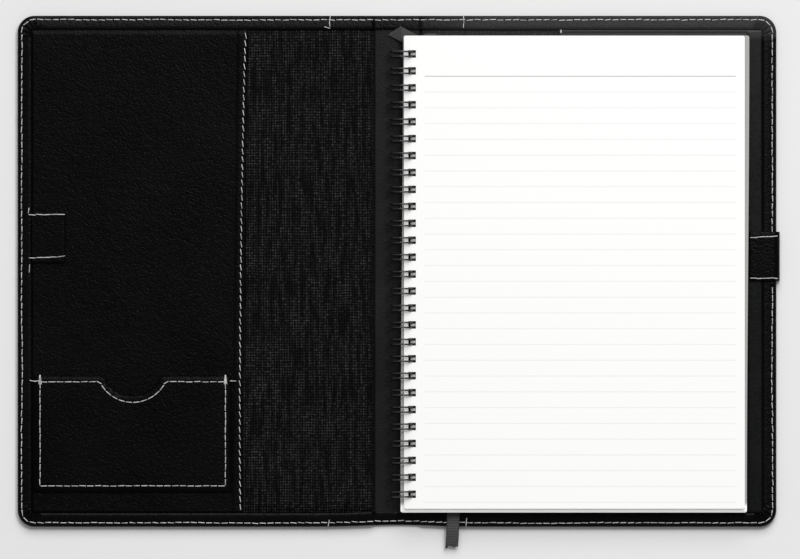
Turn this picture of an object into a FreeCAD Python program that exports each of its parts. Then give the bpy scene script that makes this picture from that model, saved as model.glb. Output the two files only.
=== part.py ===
import FreeCAD
import Part
import math
import os

V = FreeCAD.Vector
X_AXIS = V(1, 0, 0)
Y_AXIS = V(0, 1, 0)
Z_AXIS = V(0, 0, 1)

# An open padfolio lying on its outside. Millimetres, +X towards the back leaf's fore edge, +Y up the page,
# +Z up, with the origin on the underside at the middle of the spine.

# Notepad: its page sets the size of the cover
page_left = 3.5             # from the spine's middle
page_width = 170.4
page_height = 236.5
page_middle = -0.45
page_corner = 2.0
stack = 6.6
backing = 1.0

# Cover
fore_room = 9.1             # beside the pages, which the pad takes up as the cover shuts
head_room = 2.75            # above and below the pages
corner_radius = 8.5
skin = 0.9                  # leatherette
edge_round = 1.6            # outside rounding of the turned edge
spine_cut = 0.5             # the thinner edge over the spine is cut off by this share of that rounding
border = 7.0                # width of the turned-in edge
board = 2.2
lining = 0.4
spine_half = 11.3           # the channel between the boards, to each side of the middle
ramp = 1.5                  # slope from the channel up to the boards
fold_half = 4.5             # half width of the strip that turns as the spine
fold_gap = 0.3
fit = 0.1                   # between soft parts that lie beside each other
strip_tuck = 1.5            # from the spine lining's ends to the fold of the edge
lining_tuck = 2.0           # from the leaf lining's edge to the rounding of the edge
inner_corner = 2.0          # of the turned-in edge, and of the panels that meet it

# Front leaf
mouth_top = 74.6            # the pocket's mouth, from the spine's middle; it runs a little out of square
mouth_bottom = 77.6
hem_width = 4.5
hem_rise = 0.3
card_margin = 8.0           # from the fore edge
card_foot = 17.3            # from the cover's lower edge
card_width = 99.4
card_height = 58.7
notch_radius = 15.0
notch_depth = 10.3
shoulder = 3.0
tab_length = 16.8
tab_width = 24.9
tab_middle = 16.9
strap = 1.6                 # two plies, for the tab and the strap

# Back leaf
back_mouth = 81.1
back_ply = 0.8
strap_width = 24.6
strap_middle = 7.5
strap_foot = 0.5            # the strap's lower end, above the underside
slack = 0.3                 # round the backing board in its pocket

# Twin-loop wire, three loops to the inch
loop_pitch = 25.4 / 3
loop_middle = -1.4
loop_outside = 13.3
loop_inset = 0.85           # from the pages' edge back to the loops' middle
wire = 0.9
twin = 2.45                 # between the two wires of a loop
seam_gap = 13.0             # degrees left open under the pad
loop_sides = 8
wire_sides = 5
hole = 3.8
hole_inset = 2.15
loop_lift = 0.3             # above the spine's lining
end_share = 0.4             # how far the wire runs on past its first and last loops, as a share of the gap

# Ribbon marker
ribbon_width = 6.35
ribbon = 0.3
ribbon_tail = 10.1          # past the cover's edge
tail_drop = 0.9             # where the tail starts to hang
tail_fall = 2.3             # at its cut end

# Stitching
stitch = 3.1
stitch_gap = 0.75
thread = 0.65
thread_rise = 0.3
edge_seam = 2.1             # from the cover's edge
hem_seam = 1.3
hem_end = 1.0
card_seam = 3.3
strap_seam = 1.5
pleats = 5
pleat_angle = 15.0
pleat_rise = 0.3
pleat_foot = 0.9
seam_clear = 0.4            # left unsewn beside the strap

leaf_width = page_left + page_width + fore_room + border
cover_height = page_height + 2 * (head_room + border)
half_height = cover_height / 2
board_top = skin + board
lining_top = board_top + lining
leaf_top = lining_top + skin
channel_top = 3 * skin
channel_floor = 2 * skin
leaf_start = fold_half + fold_gap
board_start = spine_half + ramp + fit


def leaf_outline(inset, start, z, radius=None):
    """The back leaf's outline, square at the spine and rounded at the fore edge."""
    w = leaf_width - inset
    h = half_height - inset
    r = corner_radius - inset if radius is None else radius
    k = r * (1 - math.sqrt(0.5))
    edges = [
        Part.LineSegment(V(start, -h, z), V(w - r, -h, z)),
        Part.Arc(V(w - r, -h, z), V(w - k, -h + k, z), V(w, -h + r, z)),
        Part.LineSegment(V(w, -h + r, z), V(w, h - r, z)),
        Part.Arc(V(w, h - r, z), V(w - k, h - k, z), V(w - r, h, z)),
        Part.LineSegment(V(w - r, h, z), V(start, h, z)),
        Part.LineSegment(V(start, h, z), V(start, -h, z)),
    ]
    return Part.Wire([e.toShape() for e in edges])


def leaf_slab(inset, start, bottom, top, rounding):
    """A flat leaf, with its outside edges rounded where a rounding is given."""
    slab = Part.Face(leaf_outline(inset, start, bottom)).extrude(Z_AXIS * (top - bottom))
    rim = [e for e in slab.Edges if e.BoundBox.ZLength < 1e-6 and e.BoundBox.XMax > start + 1e-6]
    return slab.makeFillet(rounding, rim) if rounding else slab


def edge_section(x, inset, bottom, top, rounding):
    """The cover's cross-section across the spine, its corners cut where a rounding is given."""
    h = half_height - inset
    r = rounding
    points = []
    corners = [(h, top, -1, -1), (-h, top, 1, -1), (-h, bottom, 1, 1), (h, bottom, -1, 1)]
    for y, z, dy, dz in corners:
        cut = [V(x, y, z + dz * r), V(x, y + dy * r, z)]
        if dy != dz:
            cut.reverse()
        points += cut if r else cut[:1]
    return Part.makePolygon(points + points[:1])


def cover_volume(inset, start, bottom, low_top, high_top, rounding):
    """A leaf that steps down over the spine's channel."""
    foot = spine_half + ramp
    low = edge_section(start, inset, bottom, low_top, rounding * spine_cut)
    channel = Part.Face(low).extrude(X_AXIS * (spine_half - start))
    near = edge_section(spine_half, inset, bottom, low_top, rounding * spine_cut)
    far = edge_section(foot, inset, bottom, high_top, rounding * spine_cut)
    slope = Part.makeLoft([near, far], True, True)
    return leaf_slab(inset, foot, bottom, high_top, rounding).fuse([slope, channel])


def mirrored(shape):
    """The same piece on the front leaf."""
    return shape.mirror(V(0, 0, 0), X_AXIS)


def pleat_ridges():
    """Gathers where the turned-in edge goes round a corner."""
    ridges = []
    sag = stitch ** 2 / 8 / (corner_radius - edge_seam)
    clear_of_seam = edge_seam + thread / 2 + sag + fit
    ridge_length = border - clear_of_seam - fit
    reach = corner_radius - clear_of_seam
    for side in (1, -1):
        centre = V(leaf_width - corner_radius, side * (half_height - corner_radius), leaf_top)
        for n in range(pleats):
            turn = 45.0 + (n - (pleats - 1) / 2) * pleat_angle
            a = V(reach, -pleat_foot / 2, 0)
            b = V(reach, pleat_foot / 2, 0)
            c = V(reach, 0, pleat_rise)
            ridge = Part.Face(Part.makePolygon([a, b, c, a])).extrude(V(-ridge_length, 0, 0))
            ridge.rotate(V(0, 0, 0), Z_AXIS, side * turn)
            ridge.translate(centre)
            ridges.append(ridge)
    return ridges


def leaf_skin():
    """The back leaf's skin, with its edge turned in over the board and the lining."""
    outside = cover_volume(0, leaf_start, 0, channel_top, leaf_top, edge_round)
    inside = cover_volume(skin, leaf_start - 1, skin, channel_floor, lining_top, 0)
    window = Part.Face(leaf_outline(border, 0, channel_floor, inner_corner)).extrude(Z_AXIS * leaf_top)
    return outside.cut([inside, window]).fuse(pleat_ridges()).removeSplitter()


def spine_cover():
    """The strip of skin that turns as the spine."""
    outside = Part.Face(edge_section(-fold_half, 0, 0, channel_top, edge_round * spine_cut))
    outside = outside.extrude(X_AXIS * 2 * fold_half)
    inside = Part.Face(edge_section(-fold_half - 1, skin, skin, channel_floor, 0))
    inside = inside.extrude(X_AXIS * 2 * (fold_half + 1))
    reach = half_height - border
    window = Part.makeBox(4 * fold_half, 2 * reach, leaf_top, V(-2 * fold_half, -reach, channel_floor))
    return outside.cut([inside, window])


def spine_strip(start, end):
    """A length of the smooth strip that lines the spine."""
    reach = half_height - skin - strip_tuck
    return Part.makeBox(end - start, 2 * reach, skin, V(start, -reach, skin))


back_cover_skin = leaf_skin()
front_cover_skin = mirrored(back_cover_skin)
spine_skin = spine_cover()
back_board = Part.Face(leaf_outline(edge_round + fit, board_start, skin)).extrude(Z_AXIS * board)
front_board = mirrored(back_board)
tuck = edge_round + lining_tuck
back_lining = Part.Face(leaf_outline(tuck, board_start, board_top)).extrude(Z_AXIS * lining)
front_lining = mirrored(back_lining)
spine_lining = spine_strip(-fold_half, fold_half)
back_spine_lining = spine_strip(leaf_start, spine_half - fit)
front_spine_lining = mirrored(back_spine_lining)

# Front pocket panel: sewn down on three sides, with a turned hem along its mouth
panel_reach = half_height - border - fit
panel_edge = leaf_width - border - fit


def rounded_plan(corners, radii, z):
    """A closed outline whose corners are rounded by the radii given, 0 for a sharp one."""
    count = len(corners)
    joints = []
    for i, (corner, r) in enumerate(zip(corners, radii)):
        here = V(corner[0], corner[1], z)
        before = V(*corners[i - 1], z) - here
        after = V(*corners[(i + 1) % count], z) - here
        before.normalize()
        after.normalize()
        half = before.getAngle(after) / 2
        back = r / math.tan(half)
        middle = before + after
        middle.normalize()
        bulge = r * (1 / math.sin(half) - 1)
        joints.append((here + before * back, here + middle * bulge, here + after * back))
    edges = []
    for i, (first, middle, last) in enumerate(joints):
        if radii[i] > 0:
            edges.append(Part.Arc(first, middle, last).toShape())
        edges.append(Part.LineSegment(last, joints[(i + 1) % count][0]).toShape())
    return Part.Wire(edges)


def mouth_x(y):
    """Where the front pocket's mouth lies at a height on the page."""
    share = (y + half_height) / cover_height
    return -(mouth_bottom + (mouth_top - mouth_bottom) * share)


mouth_low = mouth_x(-panel_reach)
mouth_high = mouth_x(panel_reach)
panel_plan = rounded_plan(
    [
        (-panel_edge, -panel_reach),
        (mouth_low, -panel_reach),
        (mouth_high, panel_reach),
        (-panel_edge, panel_reach),
    ],
    [inner_corner, 0, 0, inner_corner],
    lining_top,
)
front_pocket_panel = Part.Face(panel_plan).extrude(Z_AXIS * skin)
hem_plan = rounded_plan(
    [
        (mouth_low - hem_width, -panel_reach),
        (mouth_low, -panel_reach),
        (mouth_high, panel_reach),
        (mouth_high - hem_width, panel_reach),
    ],
    [0, 0, 0, 0],
    leaf_top,
)
front_pocket_panel = front_pocket_panel.fuse(Part.Face(hem_plan).extrude(Z_AXIS * hem_rise))
front_pocket_panel = front_pocket_panel.removeSplitter()

# Card pocket, with rounded shoulders and a thumb notch
card_left = card_margin - leaf_width
card_right = card_left + card_width
card_middle = (card_left + card_right) / 2
card_bottom = card_foot - half_height
card_top = card_bottom + card_height
notch_centre_y = card_top + notch_radius - notch_depth


def card_outline(inset, shoulder_radius, z):
    """The card pocket's top edge and sides, inset by a seam; the last edge is its straight foot."""
    top = card_top - inset
    r = notch_radius + inset
    drop = notch_centre_y - top
    s = shoulder_radius
    reach = math.sqrt((r + s) ** 2 - (drop + s) ** 2)
    lean = math.atan2(reach, drop + s)
    left = card_left + inset
    right = card_right - inset
    foot = card_bottom + inset
    touch_x = r * math.sin(lean)
    touch_y = notch_centre_y - r * math.cos(lean)
    bend_x = reach - s * math.sin(lean / 2)
    bend_y = top - s + s * math.cos(lean / 2)
    m = card_middle
    return [
        Part.LineSegment(V(left, foot, z), V(left, top, z)).toShape(),
        Part.LineSegment(V(left, top, z), V(m - reach, top, z)).toShape(),
        Part.Arc(V(m - reach, top, z), V(m - bend_x, bend_y, z), V(m - touch_x, touch_y, z)).toShape(),
        Part.Arc(
            V(m - touch_x, touch_y, z), V(m, notch_centre_y - r, z), V(m + touch_x, touch_y, z)
        ).toShape(),
        Part.Arc(V(m + touch_x, touch_y, z), V(m + bend_x, bend_y, z), V(m + reach, top, z)).toShape(),
        Part.LineSegment(V(m + reach, top, z), V(right, top, z)).toShape(),
        Part.LineSegment(V(right, top, z), V(right, foot, z)).toShape(),
        Part.LineSegment(V(right, foot, z), V(left, foot, z)).toShape(),
    ]


card_pocket = Part.Face(Part.Wire(card_outline(0, shoulder, leaf_top))).extrude(Z_AXIS * skin)
card_top_z = leaf_top + skin

# Tab at the front fore edge: a strap end with a rounded nose
tab_root = -panel_edge
nose = strap / 2
tab_end = tab_root + tab_length
tab_plan = [
    Part.LineSegment(V(tab_root, 0, leaf_top), V(tab_end - nose, 0, leaf_top)).toShape(),
    Part.Arc(
        V(tab_end - nose, 0, leaf_top),
        V(tab_end, 0, leaf_top + nose),
        V(tab_end - nose, 0, leaf_top + strap),
    ).toShape(),
    Part.LineSegment(V(tab_end - nose, 0, leaf_top + strap), V(tab_root, 0, leaf_top + strap)).toShape(),
    Part.LineSegment(V(tab_root, 0, leaf_top + strap), V(tab_root, 0, leaf_top)).toShape(),
]
front_tab = Part.Face(Part.Wire(tab_plan)).extrude(Y_AXIS * tab_width)
front_tab.translate(V(0, tab_middle - tab_width / 2, 0))

# Notepad: the backing board lies on the ribbon, and the back pocket's panel closes over it
backing_bottom = lining_top + ribbon + fit
backing_top = backing_bottom + backing
page_bottom = backing_top + fit + back_ply + fit
page_top = page_bottom + stack
page_right = page_left + page_width
page_low = page_middle - page_height / 2
page_high = page_middle + page_height / 2
hole_x = page_left + hole_inset
loops = int(page_height / loop_pitch)
loop_y = [loop_middle + (n - (loops - 1) / 2) * loop_pitch for n in range(loops)]


def punched_sheet(bottom, thickness):
    """A sheet or block of the pad's size, punched with a row of square holes."""
    plan = rounded_plan(
        [
            (page_left, page_low),
            (page_right, page_low),
            (page_right, page_high),
            (page_left, page_high),
        ],
        [page_corner] * 4,
        bottom,
    )
    block = Part.Face(plan).extrude(Z_AXIS * thickness)
    punch = [Part.makeBox(hole, hole, thickness, V(hole_x, y - hole / 2, bottom)) for y in loop_y]
    return block.cut(punch)


pad_backing_board = punched_sheet(backing_bottom, backing)
page_block = punched_sheet(page_bottom, stack)

# Back pocket panel: raised over the backing board, and flat where it is sewn to the border
bulge_top = backing_top + fit + back_ply
shelf = lining_top + back_ply
wall = back_ply


def panel_rectangle(grow, z):
    """The raised part of the back pocket, grown past the backing board."""
    low = V(back_mouth, page_low - slack - grow, z)
    right = page_right + slack + grow
    high = page_high + slack + grow
    corners = [low, V(right, low.y, z), V(right, high, z), V(back_mouth, high, z), low]
    return Part.makePolygon(corners)


back_plan = rounded_plan(
    [
        (back_mouth, -panel_reach),
        (panel_edge, -panel_reach),
        (panel_edge, panel_reach),
        (back_mouth, panel_reach),
    ],
    [0, inner_corner, inner_corner, 0],
    lining_top,
)
back_flat = Part.Face(back_plan).extrude(Z_AXIS * back_ply)
slope_run = bulge_top - shelf
back_raise = Part.makeLoft(
    [panel_rectangle(wall + slope_run, shelf), panel_rectangle(wall, bulge_top)], True, True
)
back_depth = backing_top + fit - lining_top
back_hollow = Part.Face(panel_rectangle(0, lining_top)).extrude(Z_AXIS * back_depth)
clip = Part.makeBox(panel_edge - back_mouth, 2 * panel_reach, page_top, V(back_mouth, -panel_reach, 0))
back_pocket_panel = back_flat.fuse(back_raise.common(clip)).cut(back_hollow).removeSplitter()

# Strap round the back fore edge, from low on the outside up and in over the border
strap_in = page_right + slack + wall + slope_run + fit
strap_base = leaf_top + fit
strap_skin = leaf_width + fit
outer_round = edge_round + fit + strap
inner_round = edge_round + fit
bend_x = leaf_width - edge_round
bend_z = leaf_top - edge_round
diagonal = math.sqrt(0.5)
strap_edges = [
    Part.LineSegment(V(strap_in, 0, strap_base), V(bend_x, 0, strap_base)),
    Part.Arc(
        V(bend_x, 0, strap_base),
        V(bend_x + inner_round * diagonal, 0, bend_z + inner_round * diagonal),
        V(strap_skin, 0, bend_z),
    ),
    Part.LineSegment(V(strap_skin, 0, bend_z), V(strap_skin, 0, strap_foot)),
    Part.LineSegment(V(strap_skin, 0, strap_foot), V(strap_skin + strap, 0, strap_foot)),
    Part.LineSegment(V(strap_skin + strap, 0, strap_foot), V(strap_skin + strap, 0, bend_z)),
    Part.Arc(
        V(strap_skin + strap, 0, bend_z),
        V(bend_x + outer_round * diagonal, 0, bend_z + outer_round * diagonal),
        V(bend_x, 0, strap_base + strap),
    ),
    Part.LineSegment(V(bend_x, 0, strap_base + strap), V(strap_in, 0, strap_base + strap)),
    Part.LineSegment(V(strap_in, 0, strap_base + strap), V(strap_in, 0, strap_base)),
]
closure_strap = Part.Face(Part.Wire([e.toShape() for e in strap_edges])).extrude(Y_AXIS * strap_width)
closure_strap.translate(V(0, strap_middle - strap_width / 2, 0))

# Ribbon marker: glued in under the border at the head of the spine, lying under the pad, out at the foot
ribbon_route = [
    V(x, page_middle + share * page_height / 2, 0)
    for x, share in [
        (16.4, 1.01),
        (19.6, 0.66),
        (22.8, 0.29),
        (25.6, -0.10),
        (27.7, -0.47),
        (28.6, -0.80),
        (28.2, -0.994),
    ]
]


def bent_path(points, share):
    """Straight runs joined by tangent arcs, each as large as its two runs allow."""
    edges = []
    start = points[0]
    for before, corner, after in zip(points, points[1:], points[2:]):
        into = corner - before
        out = after - corner
        cut = share * min(into.Length, out.Length)
        turn = into.getAngle(out)
        into.normalize()
        out.normalize()
        radius = cut / math.tan(turn / 2)
        first = corner - into * cut
        last = corner + out * cut
        inward = out - into
        inward.normalize()
        middle = corner + inward * (radius / math.cos(turn / 2) - radius)
        edges.append(Part.LineSegment(start, first).toShape())
        edges.append(Part.Arc(first, middle, last).toShape())
        start = last
    edges.append(Part.LineSegment(start, points[-1]).toShape())
    return Part.Wire(edges)


def ribbon_plan():
    """The ribbon's flat outline under the pad, at its full width."""
    path = bent_path(ribbon_route, 0.45)
    along = ribbon_route[1] - ribbon_route[0]
    along.normalize()
    across = V(-along.y, along.x, 0)
    half = ribbon_width / 2
    start = ribbon_route[0]
    section = Part.makePolygon(
        [
            start + across * half,
            start - across * half,
            start - across * half + Z_AXIS * ribbon,
            start + across * half + Z_AXIS * ribbon,
            start + across * half,
        ]
    )
    strip = path.makePipeShell([section], True, False)
    return strip


ribbon_z = lining_top + fit / 2
ribbon_strip = ribbon_plan()
ribbon_strip.translate(Z_AXIS * ribbon_z)
exit_point = ribbon_route[-1]
over = leaf_top + thread_rise + fit
tail_profile = [
    (exit_point.y, ribbon_z),
    (page_low - 1.0, ribbon_z),
    (-half_height + border + fit, over),
    (-half_height + 1.0, over),
    (-half_height - ribbon_tail * 0.4, over - tail_drop),
    (-half_height - ribbon_tail, over - tail_fall),
]
tail_low = [V(0, y, z) for y, z in tail_profile]
tail_high = [p + Z_AXIS * ribbon for p in reversed(tail_low)]
tail_face = Part.Face(Part.makePolygon(tail_low + tail_high + [tail_low[0]]))
tail = tail_face.extrude(X_AXIS * ribbon_width)
tail.translate(V(exit_point.x - ribbon_width / 2, 0, 0))
ribbon_marker = ribbon_strip.fuse(tail).removeSplitter()

# Twin-loop wire: one unbroken wire, bent into fingers that close under the pad
loop_x = page_left - loop_inset
loop_z = channel_floor + loop_lift + loop_outside / 2
loop_radius = (loop_outside - wire) / 2


def finger_route(y, first_share, last_share):
    """One finger of the wire, from the base before it round the pad and back, then on to the next base."""
    open_turn = math.radians(seam_gap)
    step = (2 * math.pi - open_turn) / loop_sides
    reach = loop_radius / math.cos(step / 2) ** 0.5
    start = -math.pi / 2 + open_turn / 2
    ring = []
    for n in range(loop_sides + 1):
        angle = start + n * step
        ring.append((loop_x + reach * math.cos(angle), loop_z + reach * math.sin(angle)))
    base_x, base_z = ring[0]
    gap = loop_pitch - twin
    route = [V(base_x, y - twin / 2 - gap * first_share, base_z)]
    route += [V(x, y - twin / 2, z) for x, z in ring]
    route += [V(x, y + twin / 2, z) for x, z in reversed(ring)]
    route.append(V(base_x, y + twin / 2 + gap * last_share, base_z))
    return route


def bent_wire(route, radius, sides):
    """A faceted wire with mitred bends along a route of straight runs."""
    run = route[1] - route[0]
    run.normalize()
    side = run.cross(V(1, 1, 3))
    side.normalize()
    up = run.cross(side)
    turns = [2 * math.pi * (n + 0.5) / sides for n in range(sides)]
    ring = [route[0] + side * radius * math.cos(t) + up * radius * math.sin(t) for t in turns]
    rings = [ring]
    for before, corner, after in zip(route, route[1:], route[2:] + [None]):
        run = corner - before
        run.normalize()
        mitre = run
        if after is not None:
            out = after - corner
            out.normalize()
            mitre = run + out
        ring = [p + run * ((corner - p).dot(mitre) / run.dot(mitre)) for p in ring]
        rings.append(ring)
    faces = [Part.Face(Part.makePolygon(rings[0] + [rings[0][0]]))]
    for near, far in zip(rings, rings[1:]):
        for n in range(sides):
            m = (n + 1) % sides
            faces.append(Part.Face(Part.makePolygon([near[n], near[m], far[m], far[n], near[n]])))
    faces.append(Part.Face(Part.makePolygon(rings[-1] + [rings[-1][0]])))
    shell = Part.makeShell(faces)
    shell.sewShape()
    solid = Part.makeSolid(shell)
    if solid.Volume < 0:
        solid.reverse()
    return solid


wire_route = []
for n, y in enumerate(loop_y):
    finger = finger_route(y, end_share if n == 0 else 0.5, end_share if n == loops - 1 else 0.5)
    wire_route += finger if n == 0 else finger[1:]
    if n < loops - 1:
        wire_route.pop()
wire_binding = bent_wire(wire_route, wire / 2, wire_sides)


# Stitching: short raised threads along a seam
def stitch_prism(start, end):
    """One stitch, a low ridge lying on the face under it."""
    run = end - start
    length = run.Length
    foot = [V(0, -thread / 2, 0), V(0, thread / 2, 0)]
    section = Part.makePolygon([*foot, V(0, 0, thread_rise), foot[0]])
    ridge = Part.Face(section).extrude(V(length, 0, 0))
    ridge.rotate(V(0, 0, 0), Z_AXIS, math.degrees(math.atan2(run.y, run.x)))
    ridge.translate(start)
    return ridge


def seam(start, end):
    """A straight row of stitches, spread evenly from one end to the other."""
    run = end - start
    count = max(1, round(run.Length / (stitch + stitch_gap)))
    pitch = run.Length / count
    run.normalize()
    length = pitch - stitch_gap
    first = stitch_gap / 2
    starts = [start + run * (n * pitch + first) for n in range(count)]
    return [stitch_prism(place, place + run * length) for place in starts]


def curved_seam(centre, radius, start_angle, end_angle):
    """A row of stitches round an arc."""
    sweep = end_angle - start_angle
    count = max(1, round(abs(sweep) * radius / (stitch + stitch_gap)))
    rest = stitch_gap / 2 / (abs(sweep) * radius / count)
    stitches = []
    for n in range(count):
        ends = []
        for share in (n + rest, n + 1 - rest):
            angle = start_angle + sweep * share / count
            ends.append(centre + V(radius * math.cos(angle), radius * math.sin(angle), 0))
        stitches.append(stitch_prism(*ends))
    return stitches


def leaf_seam():
    """The back leaf's edge seam, from the fold round the fore edge and back to it."""
    h = half_height - edge_seam
    w = leaf_width - edge_seam
    r = corner_radius - edge_seam
    z = leaf_top
    rows = []
    for side in (1, -1):
        y = side * h
        rows += seam(V(leaf_start, y, channel_top), V(spine_half, y, channel_top))
        rows += seam(V(spine_half + ramp, y, z), V(w - r, y, z))
        rows += curved_seam(V(w - r, side * (h - r), z), r, side * math.pi / 2, 0)
    return rows


def fore_edge_seam(gap_low, gap_high):
    """The seam down a fore edge, left out where the strap covers it."""
    x = leaf_width - edge_seam
    end = half_height - corner_radius
    z = leaf_top
    return seam(V(x, -end, z), V(x, gap_low, z)) + seam(V(x, gap_high, z), V(x, end, z))


strap_low = strap_middle - strap_width / 2 - seam_clear
strap_high = strap_middle + strap_width / 2 + seam_clear
back_edge_stitching = Part.makeCompound(leaf_seam() + fore_edge_seam(strap_low, strap_high))
front_rows = leaf_seam() + fore_edge_seam(0, 0)
front_edge_stitching = Part.makeCompound([mirrored(s) for s in front_rows])
spine_rows = []
for side in (1, -1):
    spine_y = side * (half_height - edge_seam)
    spine_rows += seam(V(-fold_half, spine_y, channel_top), V(fold_half, spine_y, channel_top))
spine_edge_stitching = Part.makeCompound(spine_rows)

hem_z = leaf_top + hem_rise
hem_high = V(mouth_high - hem_seam, panel_reach - hem_end, hem_z)
hem_low = V(mouth_low - hem_seam, -panel_reach + hem_end, hem_z)
panel_hem_stitching = Part.makeCompound(seam(hem_high, hem_low))

card_rows = []
card_edges = card_outline(card_seam, shoulder, card_top_z)
for edge in card_edges:
    ends = (edge.Vertexes[0].Point, edge.Vertexes[1].Point)
    if edge.Curve.TypeId == "Part::GeomLine":
        card_rows += seam(*ends)
    else:
        arc_centre = edge.Curve.Center
        arc_radius = edge.Curve.Radius
        angles = [math.atan2(p.y - arc_centre.y, p.x - arc_centre.x) for p in ends]
        card_rows += curved_seam(arc_centre, arc_radius, *angles)
card_pocket_stitching = Part.makeCompound(card_rows)

tab_rows = []
strap_rows = []
for side in (1, -1):
    tab_y = tab_middle + side * (tab_width / 2 - strap_seam)
    tab_z = leaf_top + strap
    tab_rows += seam(V(tab_root, tab_y, tab_z), V(tab_end - nose, tab_y, tab_z))
    strap_y = strap_middle + side * (strap_width / 2 - strap_seam)
    strap_z = strap_base + strap
    strap_rows += seam(V(strap_in, strap_y, strap_z), V(bend_x, strap_y, strap_z))
tab_stitching = Part.makeCompound(tab_rows)
strap_stitching = Part.makeCompound(strap_rows)

nodes = {
    "front_cover_skin": front_cover_skin,
    "front_board": front_board,
    "front_lining": front_lining,
    "front_spine_lining": front_spine_lining,
    "front_pocket_panel": front_pocket_panel,
    "card_pocket": card_pocket,
    "front_tab": front_tab,
    "front_edge_stitching": front_edge_stitching,
    "panel_hem_stitching": panel_hem_stitching,
    "card_pocket_stitching": card_pocket_stitching,
    "tab_stitching": tab_stitching,
    "spine_skin": spine_skin,
    "spine_lining": spine_lining,
    "spine_edge_stitching": spine_edge_stitching,
    "back_cover_skin": back_cover_skin,
    "back_board": back_board,
    "back_lining": back_lining,
    "back_spine_lining": back_spine_lining,
    "back_pocket_panel": back_pocket_panel,
    "back_edge_stitching": back_edge_stitching,
    "closure_strap": closure_strap,
    "strap_stitching": strap_stitching,
    "ribbon_marker": ribbon_marker,
    "pad_backing_board": pad_backing_board,
    "page_block": page_block,
    "wire_binding": wire_binding,
}

os.makedirs("parts", exist_ok=True)
for name, shape in nodes.items():
    shape.exportStep("parts/" + name + ".step")
    print(name, len(shape.Solids), "solids, valid", shape.isValid(), round(shape.Volume, 1))
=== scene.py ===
import math
import random

import bmesh
import bpy
from mathutils import Matrix, Vector, noise


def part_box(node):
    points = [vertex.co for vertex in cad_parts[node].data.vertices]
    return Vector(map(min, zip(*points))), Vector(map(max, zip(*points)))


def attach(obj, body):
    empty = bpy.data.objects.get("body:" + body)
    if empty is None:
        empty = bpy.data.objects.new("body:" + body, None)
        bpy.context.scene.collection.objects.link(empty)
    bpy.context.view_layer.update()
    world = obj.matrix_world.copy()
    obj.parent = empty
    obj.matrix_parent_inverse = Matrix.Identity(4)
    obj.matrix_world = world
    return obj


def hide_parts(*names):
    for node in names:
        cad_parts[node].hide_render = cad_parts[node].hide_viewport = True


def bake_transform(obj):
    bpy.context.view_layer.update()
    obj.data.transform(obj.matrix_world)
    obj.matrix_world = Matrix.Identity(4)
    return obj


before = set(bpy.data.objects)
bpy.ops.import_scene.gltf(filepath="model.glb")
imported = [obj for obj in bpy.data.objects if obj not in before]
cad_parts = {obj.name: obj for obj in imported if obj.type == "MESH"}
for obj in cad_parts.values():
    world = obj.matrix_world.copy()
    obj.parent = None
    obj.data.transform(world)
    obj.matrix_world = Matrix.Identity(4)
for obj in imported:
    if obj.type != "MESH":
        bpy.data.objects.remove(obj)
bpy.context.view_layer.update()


# Studio
# A pale paper floor under two soft lamps and an even sky, with the camera straight overhead on a long lens.
# The key lamp stands beyond the head of the back leaf, so that shadows fall towards the foot.
MM = 0.001
CAMERA_HEIGHT = 6.0
VIEW_WIDTH = 400.8 * MM
VIEW_MIDDLE = (1.5 * MM, -4.1 * MM)
scene = bpy.context.scene
scene.view_settings.view_transform = "Standard"


def paint(code):
    """A hex colour in sRGB as the linear colour that a socket takes."""
    parts = [int(code[i : i + 2], 16) / 255 for i in (1, 3, 5)]
    return [c / 12.92 if c <= 0.04045 else ((c + 0.055) / 1.055) ** 2.4 for c in parts] + [1.0]


def node(tree, kind, feeds=None, **settings):
    """Adds a shader node; feeds gives its inputs values, colour codes, nodes or single outputs of nodes."""
    made = tree.nodes.new("ShaderNode" + kind)
    for key, value in settings.items():
        setattr(made, key, value)
    for key, value in (feeds or {}).items():
        if isinstance(value, bpy.types.Node):
            value = next(socket for socket in value.outputs if socket.enabled)
        if isinstance(value, bpy.types.NodeSocket):
            tree.links.new(value, made.inputs[key])
        else:
            made.inputs[key].default_value = paint(value) if isinstance(value, str) else value
    return made


def new_finish(name):
    """An empty material, its node tree and the object's own coordinates."""
    finish = bpy.data.materials.new(name)
    finish.use_nodes = True
    tree = finish.node_tree
    tree.nodes.clear()
    return finish, tree, node(tree, "TexCoord").outputs["Object"]


camera = bpy.data.objects.new("camera", bpy.data.cameras.new("camera"))
camera.data.sensor_width = 36.0
camera.data.lens = 36.0 * CAMERA_HEIGHT / VIEW_WIDTH
camera.location = (*VIEW_MIDDLE, CAMERA_HEIGHT)
scene.collection.objects.link(camera)
scene.camera = camera

world = bpy.data.worlds.new("studio")
scene.world = world
world.use_nodes = True
sky = world.node_tree
sky.nodes.clear()
lit = node(sky, "Background", {"Color": "#ffffff", "Strength": 0.32})
seen = node(sky, "Background", {"Color": "#e6e6e6", "Strength": 1.0})
eye = node(sky, "LightPath").outputs["Is Camera Ray"]
sky_mix = node(sky, "MixShader", {0: eye, 1: lit, 2: seen})
node(sky, "OutputWorld", {"Surface": sky_mix})

for name, place, size, power in [
    ("key_lamp", (1.2, 9.2, 10.4), 10.4, 1580.0),
    ("gloss_lamp", (0.27, 0.4, 1.1), 0.25, 3.9),
]:
    lamp = bpy.data.objects.new(name, bpy.data.lights.new(name, "AREA"))
    lamp.data.size = size
    lamp.data.energy = power
    lamp.location = place
    lamp.rotation_mode = "QUATERNION"
    lamp.rotation_quaternion = Vector(place).to_track_quat("Z", "Y")
    scene.collection.objects.link(lamp)

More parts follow.
